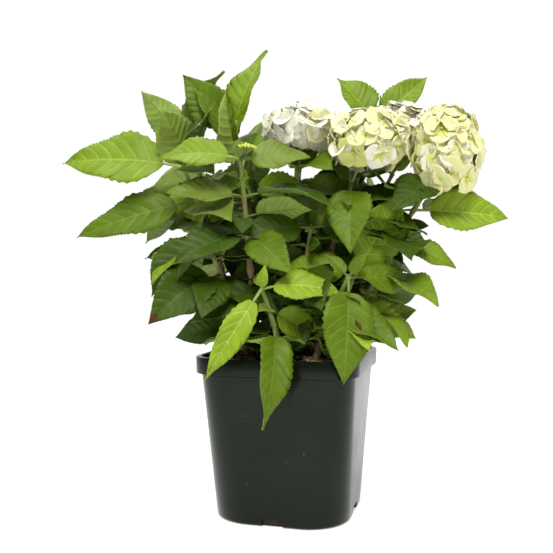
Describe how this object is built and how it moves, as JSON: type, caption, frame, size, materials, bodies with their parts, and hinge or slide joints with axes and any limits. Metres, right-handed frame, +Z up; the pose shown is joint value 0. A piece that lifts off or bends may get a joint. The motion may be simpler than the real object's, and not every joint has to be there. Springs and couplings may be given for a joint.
{
  "type": "potted hydrangea shrub",
  "caption": "Young mophead hydrangea with creamy white flower heads and broad toothed leaves, growing in a square black nursery pot of peat",
  "frame": {"origin": "the centre of the pot's flat underside", "axes": "+Z up along the pot's axis; -Y out of the pot's front face; +X to the right of someone facing that front"},
  "size_m": [0.4961, 0.3792, 0.5278],
  "materials": {
    "pot_plastic": "satin",
    "peat": "matte",
    "woody_stem": "matte",
    "foliage": "satin",
    "blossom": "matte"
  },
  "bodies": {
    "root": {"back_head": "blossom", "back_head_leaves": "foliage", "back_head_stem": "woody_stem", "back_left_leaves": "foliage", "back_left_stem": "woody_stem", "back_low_leaves": "foliage", "back_low_stem": "woody_stem", "back_middle_leaves": "foliage", "back_middle_stem": "woody_stem", "back_right_leaves": "foliage", "back_right_stem": "woody_stem", "bud_leaves": "foliage", "bud_stem": "woody_stem", "centre_head": "blossom", "centre_head_leaves": "foliage", "centre_head_stem": "woody_stem", "centre_leaves": "foliage", "centre_stem": "woody_stem", "front_low_leaves": "foliage", "front_low_stem": "woody_stem", "front_right_leaves": "foliage", "front_right_stem": "woody_stem", "inner_right_leaves": "foliage", "inner_right_stem": "woody_stem", "left_head": "blossom", "left_head_leaves": "foliage", "left_head_stem": "woody_stem", "left_low_leaves": "foliage", "left_low_stem": "woody_stem", "left_outer_leaves": "foliage", "left_outer_stem": "woody_stem", "left_tall_leaves": "foliage", "left_tall_stem": "woody_stem", "left_upper_leaves": "foliage", "left_upper_stem": "woody_stem", "low_middle_leaves": "foliage", "low_middle_stem": "woody_stem", "pot": "pot_plastic", "right_head": "blossom", "right_head_leaves": "foliage", "right_head_stem": "woody_stem", "right_low_leaves": "foliage", "right_low_stem": "woody_stem", "soil": "peat", "upper_right_leaves": "foliage", "upper_right_stem": "woody_stem"}
  },
  "joints": []
}
